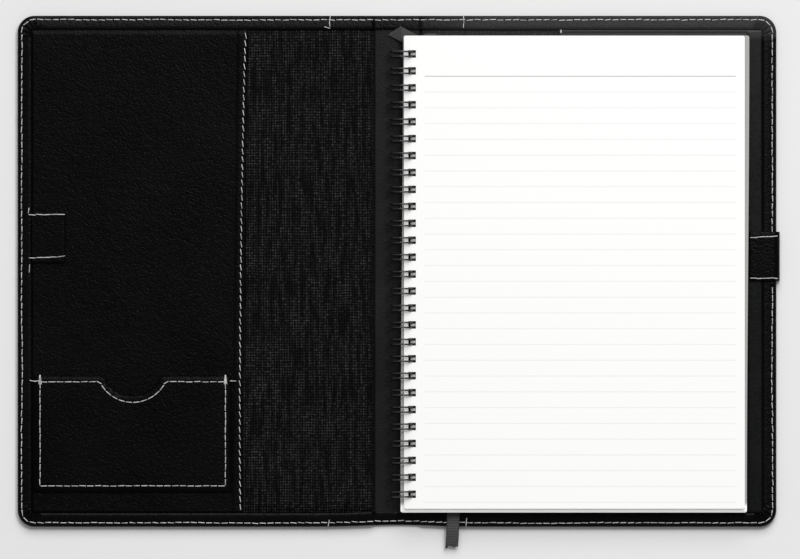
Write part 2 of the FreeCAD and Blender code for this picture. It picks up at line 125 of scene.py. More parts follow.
floor_finish, tree, place = new_finish("studio_paper")
paper_tone = node(tree, "BsdfDiffuse", {"Color": "#e1e1e1"})
node(tree, "OutputMaterial", {"Surface": paper_tone})
bm = bmesh.new()
bmesh.ops.create_grid(bm, x_segments=1, y_segments=1, size=4.0)
bmesh.ops.translate(bm, verts=bm.verts, vec=(0, 0, -0.2 * MM))
floor_mesh = bpy.data.meshes.new("floor")
bm.to_mesh(floor_mesh)
bm.free()
floor_mesh.materials.append(floor_finish)
floor = bpy.data.objects.new("floor", floor_mesh)
scene.collection.objects.link(floor)


# Cover boards
# Two sheets of grey binder's board stiffen the leaves. They are die-cut, glued inside the skin and never seen
# except as the flatness of each leaf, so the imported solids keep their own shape.
board_finish, tree, place = new_finish("greyboard_pressed")
flecks = node(tree, "TexNoise", {"Vector": place, "Scale": 1 / (1.5 * MM), "Detail": 4.0})
board_tone = node(tree, "Mix", {0: flecks, 6: "#6f6a62", 7: "#8d877c"}, data_type="RGBA")
fibre = node(tree, "Bump", {"Height": flecks, "Strength": 0.3, "Distance": 0.1 * MM})
look = {"Base Color": board_tone, "Roughness": 0.9, "IOR": 1.5, "Normal": fibre}
surface = node(tree, "BsdfPrincipled", look)
node(tree, "OutputMaterial", {"Surface": surface})
for name in ("front_board", "back_board", "pad_backing_board"):
    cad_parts[name].data.materials.clear()
    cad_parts[name].data.materials.append(board_finish)


# Outer skin
# One sheet of black polyurethane leatherette on a woven backing wraps both boards and the spine. It is
# skived, turned in 7 mm all round, pleated at the corners and sewn through, so the turned edge stays puffy.
half_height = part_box("back_cover_skin")[1].y
leaf_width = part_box("back_cover_skin")[1].x
leaf_top = 4.4 * MM
channel_top = 2.7 * MM
skin = 0.85 * MM
corner_radius = 8.5 * MM
board_start = 12.9 * MM
slope_start = 10.6 * MM
seam_inset = 2.1 * MM
seam_pitch = 3.85 * MM
seam_height = 4.14 * MM
seam_radius = corner_radius - seam_inset
seam_quarter = seam_radius * math.pi / 2
corner_x = leaf_width - corner_radius
corner_y = half_height - corner_radius
half_seam = corner_x + seam_quarter + corner_y
pleat_reach = 3.5 * MM
pleat_angle = 15.0
lap_edge = 33.5 * MM
lap_depth = 0.3 * MM
STITCH_STEPS, CORNER_STEPS = 6, 48
# The turned edge in section, as inset and height, from the lip on the lining round the edge and under
EDGE_SECTION = [
    (7.0, 3.62), (7.02, 3.9), (6.9, 4.3), (6.55, 4.52), (5.9, 4.64), (5.1, 4.6), (4.2, 4.48), (3.4, 4.36),
    (2.8, 4.27), (2.4, 4.18), (2.1, 4.12), (1.8, 4.16), (1.5, 4.2), (1.0, 4.1), (0.55, 3.78), (0.2, 3.25),
    (0.02, 2.5), (0.0, 1.8), (0.12, 1.1), (0.45, 0.5), (0.95, 0.14), (1.6, 0.0), (8.5, 0.0),
]


def step(low, high, value):
    """0 below low, 1 above high and a smooth rise between them."""
    t = min(1.0, max(0.0, (value - low) / (high - low)))
    return t * t * (3 - 2 * t)


def only_verts(geom):
    """The vertices among what an operator gives back."""
    return [part for part in geom if isinstance(part, bmesh.types.BMVert)]


def sweep(bm, run, steps, angle=0.0, centre=(0, 0, 0), axis=(0, 0, 1), travel=(0, 0, 0)):
    """Draws an edge run along a straight travel or round a centre, and gives back the run at its far end."""
    dvec = Vector(travel) / steps
    drawn = bmesh.ops.spin(
        bm, geom=run, cent=centre, axis=axis, angle=angle, dvec=dvec, steps=steps, use_merge=False
    )
    return drawn["geom_last"]


def finished(name, bm, finish, hard=35, outward=True, flip=False):
    """Makes the shaped mesh an object at the origin, with creases sharper than hard degrees kept hard."""
    bmesh.ops.remove_doubles(bm, verts=bm.verts, dist=0.001 * MM)
    if outward:
        bmesh.ops.recalc_face_normals(bm, faces=bm.faces)
    if flip:
        bmesh.ops.reverse_faces(bm, faces=bm.faces)
    for face in bm.faces:
        face.smooth = True
    for edge in bm.edges:
        if len(edge.link_faces) == 2:
            edge.smooth = edge.calc_face_angle(0.0) < math.radians(hard)
    mesh = bpy.data.meshes.new(name)
    bm.to_mesh(mesh)
    bm.free()
    mesh.materials.append(finish)
    piece = bpy.data.objects.new(name, mesh)
    scene.collection.objects.link(piece)
    return piece


def grid(columns, rows):
    """A bmesh that holds one flat grid, 1 by 1 about the origin, for a sheet to be shaped from."""
    bm = bmesh.new()
    bmesh.ops.create_grid(bm, x_segments=columns, y_segments=rows, size=0.5)
    return bm


def give_ply(piece, thickness, offset=-1.0):
    """Gives a drawn sheet its thickness, under the sheet or, at an offset of 0, on both sides of it."""
    ply = piece.modifiers.new("ply", "SOLIDIFY")
    ply.thickness = thickness
    ply.offset = offset


def settle(piece, body, slot, *nodes):
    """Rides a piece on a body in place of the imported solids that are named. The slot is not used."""
    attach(piece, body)
    if nodes:
        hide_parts(*nodes)


def bend_at_spine(piece, side):
    """Bakes a piece's placement into its mesh, the same on either side of the spine."""
    if side > 0:
        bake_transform(piece)
    else:
        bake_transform(piece)


def seam_distance(x, y):
    """How far along the edge seam a point of the back leaf lies, from the spine at the foot."""
    if x > corner_x and abs(y) > corner_y:
        turn = math.atan2(abs(y) - corner_y, x - corner_x)
        past = corner_x + (1 - turn / (math.pi / 2)) * seam_quarter
    elif x > corner_x:
        past = half_seam - abs(y)
    else:
        past = x
    return past if y < 0 else 2 * half_seam - past


def seam_drift(distance):
    """How far the seam strays inwards from its true inset."""
    return 0.45 * MM * noise.noise(Vector((distance / (48 * MM), 4.0, 0)))


seam_count = round(2 * half_seam / seam_pitch)
seam_step = 2 * half_seam / seam_count


def shaped_height(x, y, z):
    """A point of the skin's top or edge, lowered over the spine, dimpled at each needle hole and pleated."""
    inset = min(leaf_width - x, half_height - abs(y))
    if x > corner_x and abs(y) > corner_y:
        inset = corner_radius - math.hypot(x - corner_x, abs(y) - corner_y)
    # Pleats run from the lip towards the edge, fanned about a point inside the corner
    fan_x, fan_y = x - corner_x + pleat_reach, abs(y) - corner_y + pleat_reach
    turn = math.degrees(math.atan2(fan_y, fan_x)) if fan_x > 0 and fan_y > 0 else 0.0
    fold = math.cos(math.radians((turn - 45) * 360 / pleat_angle))
    gather = step(2.3 * MM, 3.3 * MM, inset) * step(7.2 * MM, 6.6 * MM, inset)
    gather *= step(0, 14, turn) * step(90, 76, turn)
    lift = gather * 0.42 * fold * MM
    if z > 3 * MM:
        distance = seam_distance(x, y)
        phase = distance / seam_step
        near = math.exp(-(((inset - seam_inset - seam_drift(distance)) / (0.95 * MM)) ** 2))
        lift += near * 0.1 * MM * (math.cos(2 * math.pi * phase + math.pi) - 0.6)
        lift += 0.05 * MM * noise.noise(Vector((x, y, 0)) / (6 * MM))
    share = step(slope_start, board_start, x)
    return (z + lift) * (channel_top / leaf_top + (1 - channel_top / leaf_top) * share)


def foot_dip(x, y):
    """How far the foot's edge is drawn in at the spine, where nothing stiffens the skin."""
    at_spine = math.exp(-((x / (21 * MM)) ** 2))
    return 1.0 * MM * at_spine * step(-half_height + 14 * MM, -half_height + 5 * MM, y)


def black_leatherette(name, tone, sheen_tone, grain_width, grain_depth, gloss, shine=0.05, painted_sheen=None):
    """Moulded polyurethane grain: rounded pebbles parted by creases, which catch light on their shoulders."""
    finish, tree, place = new_finish(name)
    drift = node(tree, "TexNoise", {"Vector": place, "Scale": 1 / (9 * MM), "Detail": 3.0})
    bent = node(tree, "VectorMath", {0: drift.outputs[1], 1: (1.2 * MM,) * 3}, operation="MULTIPLY")
    moved = node(tree, "VectorMath", {0: place, 1: bent}, operation="ADD")
    pebbles = node(tree, "TexVoronoi", {"Vector": moved, "Scale": 1 / grain_width}, feature="SMOOTH_F1")
    creases = node(tree, "TexNoise", {"Vector": moved, "Scale": 0.45 / grain_width, "Detail": 6.0})
    relief = node(tree, "Math", {0: pebbles, 1: -0.9, 2: creases}, operation="MULTIPLY_ADD")
    bump = node(tree, "Bump", {"Height": relief, "Strength": 0.75, "Distance": grain_depth})
    blotches = node(tree, "TexNoise", {"Vector": place, "Scale": 1 / (38 * MM), "Detail": 4.0})
    worn = node(tree, "MapRange", {0: blotches, 1: 0.35, 2: 0.7})
    colour = node(tree, "Mix", {0: worn, 6: tone, 7: sheen_tone}, data_type="RGBA")
    if painted_sheen:
        # Painted sheen: the head of the back leaf is painted a lighter grey, standing in for a lamp's
        # reflection there
        axes = node(tree, "SeparateXYZ", {0: place})
        painted_light_at_head = node(tree, "MapRange", {0: axes.outputs[1], 1: 116 * MM, 2: 118.5 * MM})
        sideward = node(tree, "MapRange", {0: axes, 1: 0.0, 2: 45 * MM})
        painted_sheen_mask = node(tree, "Math", {0: painted_light_at_head, 1: sideward}, operation="MULTIPLY")
        colour = node(tree, "Mix", {0: painted_sheen_mask, 6: colour, 7: painted_sheen}, data_type="RGBA")
    rough = node(tree, "MapRange", {0: creases, 1: 0.3, 2: 0.7, 3: gloss - 0.07, 4: gloss + 0.08})
    look = {"Base Color": colour, "Roughness": rough, "IOR": 1.5, "Specular IOR Level": shine, "Normal": bump}
    surface = node(tree, "BsdfPrincipled", look)
    node(tree, "OutputMaterial", {"Surface": surface})
    return finish


# The grain is 0.55 mm across on the real sheet and is drawn a little coarser, so that it shows
# Its last colour is a painted sheen, laid lighter over the head of the back leaf
skin_finish = black_leatherette(
    "leatherette_grained_pu", "#040405", "#070708", 0.8 * MM, 0.22 * MM, 0.34, 0.06, "#292a29"
)


def divide(bm, axis, positions):
    """Divides a mesh where planes square to an axis meet it."""
    way = Vector((axis == "X", axis == "Y", 0))
    for position in positions:
        everything = bm.verts[:] + bm.edges[:] + bm.faces[:]
        bmesh.ops.bisect_plane(bm, geom=everything, plane_co=way * position, plane_no=way)


def skin_half(name, side):
    """The skin round one leaf and half of the spine; side is 1 for the back leaf and -1 for the front one."""
    near = 0.01 * MM
    bm = bmesh.new()
    section = [bm.verts.new((0, -half_height + inset * MM, z * MM)) for inset, z in EDGE_SECTION]
    run = section + [bm.edges.new(pair) for pair in zip(section, section[1:])]
    along = round(corner_x / seam_step * STITCH_STEPS)
    down = round(2 * corner_y / seam_step * STITCH_STEPS)
    run = sweep(bm, run, along, travel=(corner_x, 0, 0))
    run = sweep(bm, run, CORNER_STEPS, angle=math.pi / 2, centre=(corner_x, -corner_y, 0))
    run = sweep(bm, run, down, travel=(0, 2 * corner_y, 0))
    run = sweep(bm, run, CORNER_STEPS, angle=math.pi / 2, centre=(corner_x, corner_y, 0))
    run = sweep(bm, run, along, travel=(-corner_x, 0, 0))
    bmesh.ops.remove_doubles(bm, verts=bm.verts, dist=near)
    # The underside is one flat face inside the swept edge, its corners taken from the foot round to the head
    flat = [v for v in bm.verts if v.is_boundary and abs(v.co.z) < near and abs(v.co.y) < corner_y + near]
    bm.faces.new(sorted(flat, key=lambda v: math.atan2(v.co.y, v.co.x)))
    lap = [lap_edge + shift * MM for shift in (-0.4, -0.15, 0.1, 0.35)]
    divide(bm, "X", [0.02 * MM] + [n * MM for n in range(1, 14)] + lap)
    for vert in bm.verts:
        x, y, z = vert.co
        vert.co.z = shaped_height(x, y, z)
        if z < near:
            vert.co.z += lap_depth * step(lap[0], lap[-1], x)
        vert.co.y += foot_dip(x, y)
    if side < 0:
        bmesh.ops.scale(bm, vec=(-1, 1, 1), verts=bm.verts)
    bmesh.ops.recalc_face_normals(bm, faces=bm.faces)
    under = max(bm.faces, key=lambda f: f.calc_area())
    return finished(name, bm, skin_finish, outward=False, flip=under.normal.z > 0)


for name, side, node_name in [
    ("skin_front_half", -1, "front_cover_skin"),
    ("skin_back_half", 1, "back_cover_skin"),
]:
    piece = skin_half(name, side)
    give_ply(piece, skin)
    bend_at_spine(piece, side)
    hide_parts(node_name, "spine_skin")


# Edge stitching
# A lockstitch in off-white bonded polyester thread, 2 mm in from the turned edge, runs unbroken round the
# cover and across the spine. Each stitch pulls into the skin at its ends and lies a little out of line.
thread_radius = 0.19 * MM
stitch_length = 3.0 * MM
stitch_rise = 0.34 * MM
stitch_seat = 0.02 * MM
thread_finish, tree, place = new_finish("polyester_thread_twisted")
# The plies are 0.25 mm apart, and roughen the thread's edge more than they show by themselves
plies = node(tree, "TexNoise", {"Vector": place, "Scale": 1 / (0.5 * MM), "Detail": 3.0})
soiling = node(tree, "TexNoise", {"Vector": place, "Scale": 1 / (3.2 * MM), "Detail": 2.0})
wear = node(tree, "MapRange", {0: soiling, 1: 0.36, 2: 0.64})
worn_ply = node(tree, "Math", {0: wear, 1: 0.75, 2: plies}, operation="MULTIPLY_ADD")
ply_tone = node(tree, "Mix", {0: worn_ply, 6: "#3a3a39", 7: "#cdcdca"}, data_type="RGBA")
ply_bump = node(tree, "Bump", {"Height": plies, "Strength": 0.5, "Distance": 0.1 * MM})
look = {"Base Color": ply_tone, "Roughness": 0.65, "IOR": 1.5, "Sheen Weight": 0.2, "Normal": ply_bump}
surface = node(tree, "BsdfPrincipled", look)
node(tree, "OutputMaterial", {"Surface": surface})


def linked(verts, kind):
    """The edges or faces that meet some vertices, each once and in a steady order."""
    return list(dict.fromkeys(part for vert in verts for part in getattr(vert, kind)))


def add_stitch(bm, place, heading, length=stitch_length, tilt=0.0):
    """One stitch: a round thread that rises out of one needle hole and dips into the next."""
    chord = length / 2
    bow = (chord**2 + stitch_rise**2) / (2 * stitch_rise)
    reach = 2 * math.asin(chord / bow)
    ring = bmesh.ops.create_circle(bm, segments=6, radius=thread_radius)["verts"]
    bmesh.ops.rotate(bm, verts=ring, matrix=Matrix.Rotation(math.pi / 2, 3, "Y"))
    bmesh.ops.translate(bm, verts=ring, vec=(0, 0, bow))
    bmesh.ops.rotate(bm, verts=ring, matrix=Matrix.Rotation(-reach / 2, 3, "Y"))
    before = set(bm.verts)
    sweep(bm, ring + linked(ring, "link_edges"), 6, angle=reach, axis=(0, 1, 0))
    made = ring + [v for v in bm.verts if v not in before]
    ends = [edge for edge in linked(made, "link_edges") if edge.is_boundary]
    bmesh.ops.holes_fill(bm, edges=ends, sides=6)
    turn = Matrix.Rotation(heading, 4, "Z") @ Matrix.Rotation(tilt, 4, "X")
    sink = Matrix.Translation((0, 0, -bow + stitch_rise))
    bmesh.ops.transform(bm, matrix=Matrix.Translation(place) @ turn @ sink, verts=made)


def sewn(name, bm, body, *nodes):
    """Finishes a bmesh full of stitches as a piece that rides on its leaf."""
    settle(finished(name, bm, thread_finish, hard=60), body, "thread", *nodes)


def seam_point(distance):
    """The place and heading of the edge seam on the back leaf, the reverse of seam_distance."""
    past, foot = (distance, -1) if distance < half_seam else (2 * half_seam - distance, 1)
    if past < corner_x:
        x, y, heading = past, half_height - seam_inset, 0.0
    elif past < corner_x + seam_quarter:
        heading = (past - corner_x) / seam_radius
        x = corner_x + seam_radius * math.sin(heading)
        y = corner_y + seam_radius * math.cos(heading)
    else:
        x, y, heading = leaf_width - seam_inset, half_seam - past, math.pi / 2
    return Vector((x, foot * y, 0)), heading if foot < 0 else -heading


strap_low, strap_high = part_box("closure_strap")
lap_seam = lap_edge + 2.2 * MM
lap_pitch = 4.2 * MM
lap_count = 57
# Each tack's stitches: distance from the spine, inset from the head (minus: from the foot), lean and length
TACKS = {
    -1: [(33.6, 1.9, 97, 3.7), (33.7, 4.6, 80, 2.2), (34.9, 6.0, 17, 2.8), (34.2, -1.9, 100, 3.4)],
    1: [(33.4, 2.0, 93, 3.6), (33.3, 4.9, 86, 2.4), (34.7, -2.4, 86, 4.2)],
}
for name, side, node_name in [
    ("edge_stitches_front_half", -1, "front_edge_stitching"),
    ("edge_stitches_back_half", 1, "back_edge_stitching"),
]:
    draw = random.Random(5 + side)
    bm = bmesh.new()
    for n in range(seam_count):
        spot, heading = seam_point((n + 0.5) * seam_step)
        if side > 0 and spot.x > corner_x and strap_low.y - 1 * MM < spot.y < strap_high.y + 1 * MM:
            continue
        slant = math.radians(draw.uniform(-5, 5) + 2)
        stray = seam_drift((n + 0.5) * seam_step) + draw.uniform(-0.14, 0.14) * MM
        spot += Vector((-math.sin(heading), math.cos(heading), 0)) * (stray if spot.y < 0 else -stray)
        spot.z = shaped_height(spot.x, spot.y, seam_height) + stitch_seat
        spot.y += foot_dip(spot.x, spot.y)
        add_stitch(bm, spot, heading + slant, stitch_length * draw.uniform(0.93, 1.04))
    # Where the lap in the skin ends, a tack goes over the edge and its tail curls on the border
    for x, inset, lean, length in TACKS[side]:
        y = math.copysign(half_height - abs(inset) * MM, inset)
        spot = Vector((x * MM, y, shaped_height(x * MM, y, 4.5 * MM) + 0.1 * MM))
        add_stitch(bm, spot, math.radians(lean), length * MM)
    for n in range(lap_count):
        spot = Vector((lap_seam, (n + 0.5 - lap_count / 2) * lap_pitch, lap_depth + 0.26 * MM))
        add_stitch(bm, spot, math.pi / 2 + math.radians(draw.uniform(-4, 4)), stitch_length, tilt=math.pi)
    if side < 0:
        bmesh.ops.scale(bm, vec=(-1, 1, 1), verts=bm.verts)
    piece = finished(name, bm, thread_finish, hard=60)
    bend_at_spine(piece, side)
    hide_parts(node_name, "spine_edge_stitching")


# Leaf linings
# Black polyester cloth with a corded weave, ribs running head to foot, is glued over each board before the
# edges are turned in. Light catches the crown of each rib, and the ribs wander where the cloth was pulled.
rib_pitch = 1.3 * MM
rib_height = 0.2 * MM
lining_top = 3.5 * MM
lining = 0.35 * MM
cloth_finish, tree, place = new_finish("polyester_cloth_ribbed")
# The weft is 0.35 mm apart and is drawn at 1.35 mm, so that it shows as short ticks across the ribs
tug = node(tree, "TexNoise", {"Vector": place, "Scale": 1 / (14 * MM), "Detail": 2.0})
tug_by = node(tree, "VectorMath", {0: tug.outputs[1], 1: (0.9 * MM, 1.6 * MM, 0.0)}, operation="MULTIPLY")
pulled = node(tree, "VectorMath", {0: place, 1: tug_by}, operation="ADD")
woven = 1.0
for axis, pitch, least in (("X", rib_pitch, 0.2), ("Y", 1.35 * MM, 0.12)):
    wave = node(tree, "TexWave", {"Vector": pulled, "Scale": math.pi / 10 / pitch}, bands_direction=axis)
    crown = node(tree, "Math", {0: wave.outputs[1], 1: 2.2}, operation="POWER")
    crown = node(tree, "MapRange", {0: crown, 3: least, 4: 1.0})
    woven = node(tree, "Math", {0: crown, 1: woven}, operation="MULTIPLY")
# Ticks of light where the weft crosses, and broad streaks along the ribs where the cloth was pulled
for width, height, low, high, least in ((1.3, 1.6, 0.4, 0.64, 0.12), (2.2, 17.0, 0.38, 0.62, 0.12)):
    per_metre = (1 / (width * MM), 1 / (height * MM), 0.0)
    squeezed = node(tree, "VectorMath", {0: place, 1: per_metre}, operation="MULTIPLY")
    patch = node(tree, "TexNoise", {"Vector": squeezed, "Scale": 1.0, "Detail": 2.0})
    patch = node(tree, "MapRange", {0: patch, 1: low, 2: high, 3: least, 4: 1.0})
    woven = node(tree, "Math", {0: patch, 1: woven}, operation="MULTIPLY")
# Painted light: the strip above the pages is painted lighter at the head of the back lining, from the spine
# outwards, lifting the shade that the turned edge casts there
axes = node(tree, "SeparateXYZ", {0: place})
painted_light_at_head = node(tree, "MapRange", {0: axes.outputs[1], 1: 117.3 * MM, 2: 118.3 * MM, 3: 0.0, 4: 0.2})
backward = node(tree, "MapRange", {0: axes, 1: 0.0, 2: 20 * MM})
weave_and_painted_light = node(tree, "Math", {0: painted_light_at_head, 1: backward, 2: woven}, operation="MULTIPLY_ADD")
cloth_tone = node(tree, "Mix", {0: weave_and_painted_light, 6: "#040404", 7: "#525252"}, data_type="RGBA")
pick_bump = node(tree, "Bump", {"Height": woven, "Strength": 0.6, "Distance": 0.15 * MM})
look = {
    "Base Color": cloth_tone, "Roughness": 0.6, "IOR": 1.5, "Specular IOR Level": 0.03, "Normal": pick_bump,
}
surface = node(tree, "BsdfPrincipled", look)
node(tree, "OutputMaterial", {"Surface": surface})

for name, body, node_name in [
    ("lining_front", "front_cover", "front_lining"),
    ("lining_back", "back_cover", "back_lining"),
]:
    low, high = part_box(node_name)
    ribs = round((high.x - low.x) / rib_pitch)
    bm = grid(ribs * 4, 28)
    for vert in bm.verts:
        x = low.x + (vert.co.x + 0.5) * (high.x - low.x)
        y = low.y + (vert.co.y + 0.5) * (high.y - low.y)
        wave = math.cos(2 * math.pi * ribs * (vert.co.x + 0.5))
        drift = 0.35 * MM * noise.noise(Vector((x / 60, y / 25, 0)) / MM)
        inner = min(x - low.x, high.x - x)
        vert.co = (x + drift * step(0, 4 * MM, inner), y, lining_top - rib_height / 2 * (1 - wave))
    piece = finished(name, bm, cloth_finish, outward=False)
    give_ply(piece, lining - rib_height / 2)
    settle(piece, body, "ribbed_lining", node_name)


# Spine lining
# A strip of smooth black leatherette lines the channel between the boards. It is glued to the inside of the
# skin, and its ends run under the turned edge at head and foot.
strip_low, strip_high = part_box("spine_lining")
strip_size = strip_high - strip_low
strip_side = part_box("back_spine_lining")[1].x + 0.1 * MM
strip_columns = 14
strip_ply = 0.5 * MM
strip_finish = black_leatherette("leatherette_smooth_pu", "#121213", "#1b1b1c", 0.5 * MM, 0.1 * MM, 0.36, 0.1)
for name, side, node_name in [
    ("spine_strip_front_half", -1, "front_spine_lining"),
    ("spine_strip_back_half", 1, "back_spine_lining"),
]:
    bm = grid(strip_columns, 90)
    for vert in bm.verts:
        column = round((vert.co.x + 0.5) * strip_columns)
        # The first column is narrow, so that the joint between the halves stays flat
        x = 0.02 * MM if column == 1 else column / strip_columns * strip_side
        y = strip_low.y + (vert.co.y + 0.5) * strip_size.y
        sag = 0.12 * MM * noise.noise(Vector((x / 30, y / 14, 3)) / MM)
        z = strip_high.z - 0.05 * MM + sag * step(strip_side, strip_side * 0.5, x) - abs(sag)
        vert.co = (side * x, y, z)
    piece = finished(name, bm, strip_finish, outward=False, flip=side < 0)
    give_ply(piece, strip_ply)
    bend_at_spine(piece, side)
    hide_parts(node_name, "spine_lining")


# Front pocket panel
# A panel of grained leatherette, sewn under the turned edge on three sides and open towards the spine. Its
# mouth is folded under by 4.5 mm and stitched, which leaves a raised band, puckered at each stitch.
panel_low, panel_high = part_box("front_pocket_panel")
panel_size = panel_high - panel_low
mouth_high, mouth_low = -74.7 * MM, -77.5 * MM
hem_width = 4.5 * MM
hem_rise = 0.3 * MM
hem_end = 1 * MM
panel_ply = 0.5 * MM
panel_finish = black_leatherette(
    "leatherette_panel_pu", "#030304", "#060607", 0.9 * MM, 0.28 * MM, 0.34, 0.045
)


def crowded(share):
    """Moves evenly spaced shares of a length towards its two ends."""
    return share - 0.85 * math.sin(2 * math.pi * share) / (2 * math.pi)


def mouth_at(y):
    """Where the pocket's mouth lies at a height on the leaf."""
    share = (y - panel_low.y) / panel_size.y
    return mouth_low + (mouth_high - mouth_low) * share


def hem_seam(y):
    """How far the hem's seam lies in from the mouth: it bows inwards between its ends."""
    share = (y - panel_low.y) / panel_size.y
    return (0.7 + 1.4 * math.sqrt(math.sin(math.pi * min(1.0, max(0.0, share))))) * MM


def panel_height(x, y):
    """The pocket panel's face: slack between its seams, raised along the hem and rolled off at its edges."""
    inner = mouth_at(y) - x
    edge = min(x - panel_low.x, y - panel_low.y, panel_high.y - y)
    slack = 0.16 * MM * noise.noise(Vector((x / 26, y / 34, 1)) / MM)
    slack += 0.05 * MM * noise.noise(Vector((x / 7, y / 9, 2)) / MM)
    band = hem_rise * step(hem_width + 0.7 * MM, hem_width - 0.2 * MM, inner)
    seam = math.exp(-(((inner - hem_seam(y)) / (0.8 * MM)) ** 2))
    pucker = seam * (0.09 * math.cos(2 * math.pi * y / (3.87 * MM)) - 0.14) * MM
    roll = 0.5 * MM * (1 - min(step(0, 0.9 * MM, edge), step(0, 2.6 * MM, panel_high.y - y)))
    roll += 0.45 * MM * (1 - step(-0.05 * MM, 0.6 * MM, inner))
    return leaf_top + slack * step(0, 6 * MM, edge) + band + pucker - roll


def stitch_row(bm, start, end, draw, height, count=None, sway=0.12, slant=3.0, fill=0.81):
    """Stitches from one point to another along a face whose height is given at each place."""
    run = Vector(end) - Vector(start)
    count = count or max(1, round(run.length / seam_pitch))
    heading = math.atan2(run.y, run.x)
    for n in range(count):
        spot = Vector(start) + run * (n + 0.5) / count
        spot += Vector((-run.y, run.x, 0)).normalized() * draw.uniform(-sway, sway) * MM
        spot.z = height(spot.x, spot.y) + stitch_seat
        turned = heading + math.radians(draw.uniform(-slant, slant))
        add_stitch(bm, spot, turned, run.length / count * draw.uniform(fill - 0.05, fill + 0.05))


bm = grid(110, 200)
for vert in bm.verts:
    y = panel_low.y + crowded(vert.co.y + 0.5) * panel_size.y
    x = panel_low.x + crowded(vert.co.x + 0.5) * (mouth_at(y) - panel_low.x)
    vert.co = (x, y, panel_height(x, y))
panel = finished("pocket_panel_front", bm, panel_finish, outward=False)
give_ply(panel, panel_ply)
settle(panel, "front_cover", "leatherette", "front_pocket_panel")

bm = bmesh.new()
draw = random.Random(11)
hem_length = panel_size.y - 2 * hem_end
hem_count = round(hem_length / seam_pitch)
for n in range(hem_count):
    y = panel_high.y - hem_end - (n + 0.5) * hem_length / hem_count
    x = mouth_at(y) - hem_seam(y) + draw.uniform(-0.08, 0.08) * MM
    spot = Vector((x, y, panel_height(x, y) + stitch_seat))
    add_stitch(bm, spot, math.radians(-79 + draw.uniform(-3, 3)), stitch_length * draw.uniform(0.9, 1.0))
sewn("hem_stitches", bm, "front_cover", "panel_hem_stitching")


# Card pocket
# A smaller patch of leatherette with a thumb notch in its top edge, sewn to the panel by one row of stitches
# inside its cut edge. Both ends of the mouth are bar-tacked, and their thread tails are left loose.
card_low, card_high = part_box("card_pocket")
card_size = card_high - card_low
notch_radius = 15.0 * MM
notch_depth = 10.3 * MM
shoulder = 3.0 * MM
card_seam = 3.3 * MM
card_ply = 0.8 * MM
card_bevel = 0.3 * MM
notch_y = card_high.y + notch_radius - notch_depth


def card_edge(inset):
    """The pocket's outline as straight runs and arcs, each a start, an end and an arc's centre or None."""
    top = card_high.y - inset
    r = notch_radius + inset
    reach = math.sqrt((r + shoulder) ** 2 - (notch_y - top + shoulder) ** 2)
    lean = math.atan2(reach, notch_y - top + shoulder)
    left, right, foot = card_low.x + inset, card_high.x - inset, card_low.y + inset
    touch = Vector((r * math.sin(lean), notch_y - r * math.cos(lean), 0))
    m = (card_low.x + card_high.x) / 2
    bend = Vector((m - reach, top - shoulder, 0)), Vector((m + reach, top - shoulder, 0))
    places = (left, foot), (left, top), (m - reach, top), (m - touch.x, touch.y)
    places += (m + touch.x, touch.y), (m + reach, top), (right, top), (right, foot)
    corners = [Vector((*spot, 0)) for spot in places]
    centres = [None, None, bend[0], Vector((m, notch_y, 0)), bend[1], None, None, None]
    return [(a, b, c) for a, b, c in zip(corners, corners[1:] + corners[:1], centres)]


def arc_turn(start, end, centre):
    """The signed angle from start to end round a centre, the short way."""
    a, b = start - centre, end - centre
    return math.atan2(a.x * b.y - a.y * b.x, a.x * b.x + a.y * b.y)


def card_height(x, y):
    """The card pocket's face, lying on the panel under it, a little slack towards its mouth."""
    slack = 0.14 * MM * noise.noise(Vector((x / 17, y / 15, 5)) / MM)
    side = min(x - card_low.x, card_high.x - x)
    gape = 0.25 * MM * step(card_low.y, card_high.y, y) * step(0, 12 * MM, side)
    inset = min(side, y - card_low.y)
    seam = math.exp(-(((inset - card_seam) / (0.9 * MM)) ** 2))
    return leaf_top + card_ply + 0.12 * MM + slack + gape - 0.16 * MM * seam


bm = bmesh.new()
for start, end, centre in card_edge(0):
    first = bm.verts.new(start)
    if centre is None:
        bm.edges.new((first, bm.verts.new(end)))
    else:
        turn = arc_turn(start, end, centre)
        sweep(bm, [first], max(6, round(abs(turn) * 12)), angle=turn, centre=centre)
bmesh.ops.remove_doubles(bm, verts=bm.verts, dist=0.01 * MM)
bmesh.ops.contextual_create(bm, geom=bm.edges[:])
bmesh.ops.inset_region(bm, faces=bm.faces[:], thickness=0.35 * MM, use_even_offset=True)
columns, rows = 34, 26
divide(bm, "X", [card_low.x + card_size.x * n / columns for n in range(1, columns)])
divide(bm, "Y", [card_low.y + card_size.y * n / rows for n in range(1, rows)])
for vert in bm.verts:
    vert.co.z = card_height(vert.co.x, vert.co.y) - (card_bevel if vert.is_boundary else 0)
card = finished("card_pocket_patch", bm, panel_finish, outward=False)
give_ply(card, card_ply - card_bevel)
settle(card, "front_cover", "leatherette", "card_pocket")

bm = bmesh.new()
draw = random.Random(23)
for start, end, centre in card_edge(card_seam):
    if centre is None:
        stitch_row(bm, start, end, draw, card_height)
        continue
    turn = arc_turn(start, end, centre)
    radius = (start - centre).length
    count = max(1, round(abs(turn) * radius / seam_pitch))
    for n in range(count):
        angle = turn * (n + 0.5) / count
        spot = centre + Matrix.Rotation(angle, 3, "Z") @ (start - centre)
        outward = spot - centre
        heading = math.atan2(outward.x, -outward.y)
        spot.z = card_height(spot.x, spot.y) + stitch_seat
        add_stitch(bm, spot, heading, abs(turn) * radius / count * draw.uniform(0.76, 0.86))
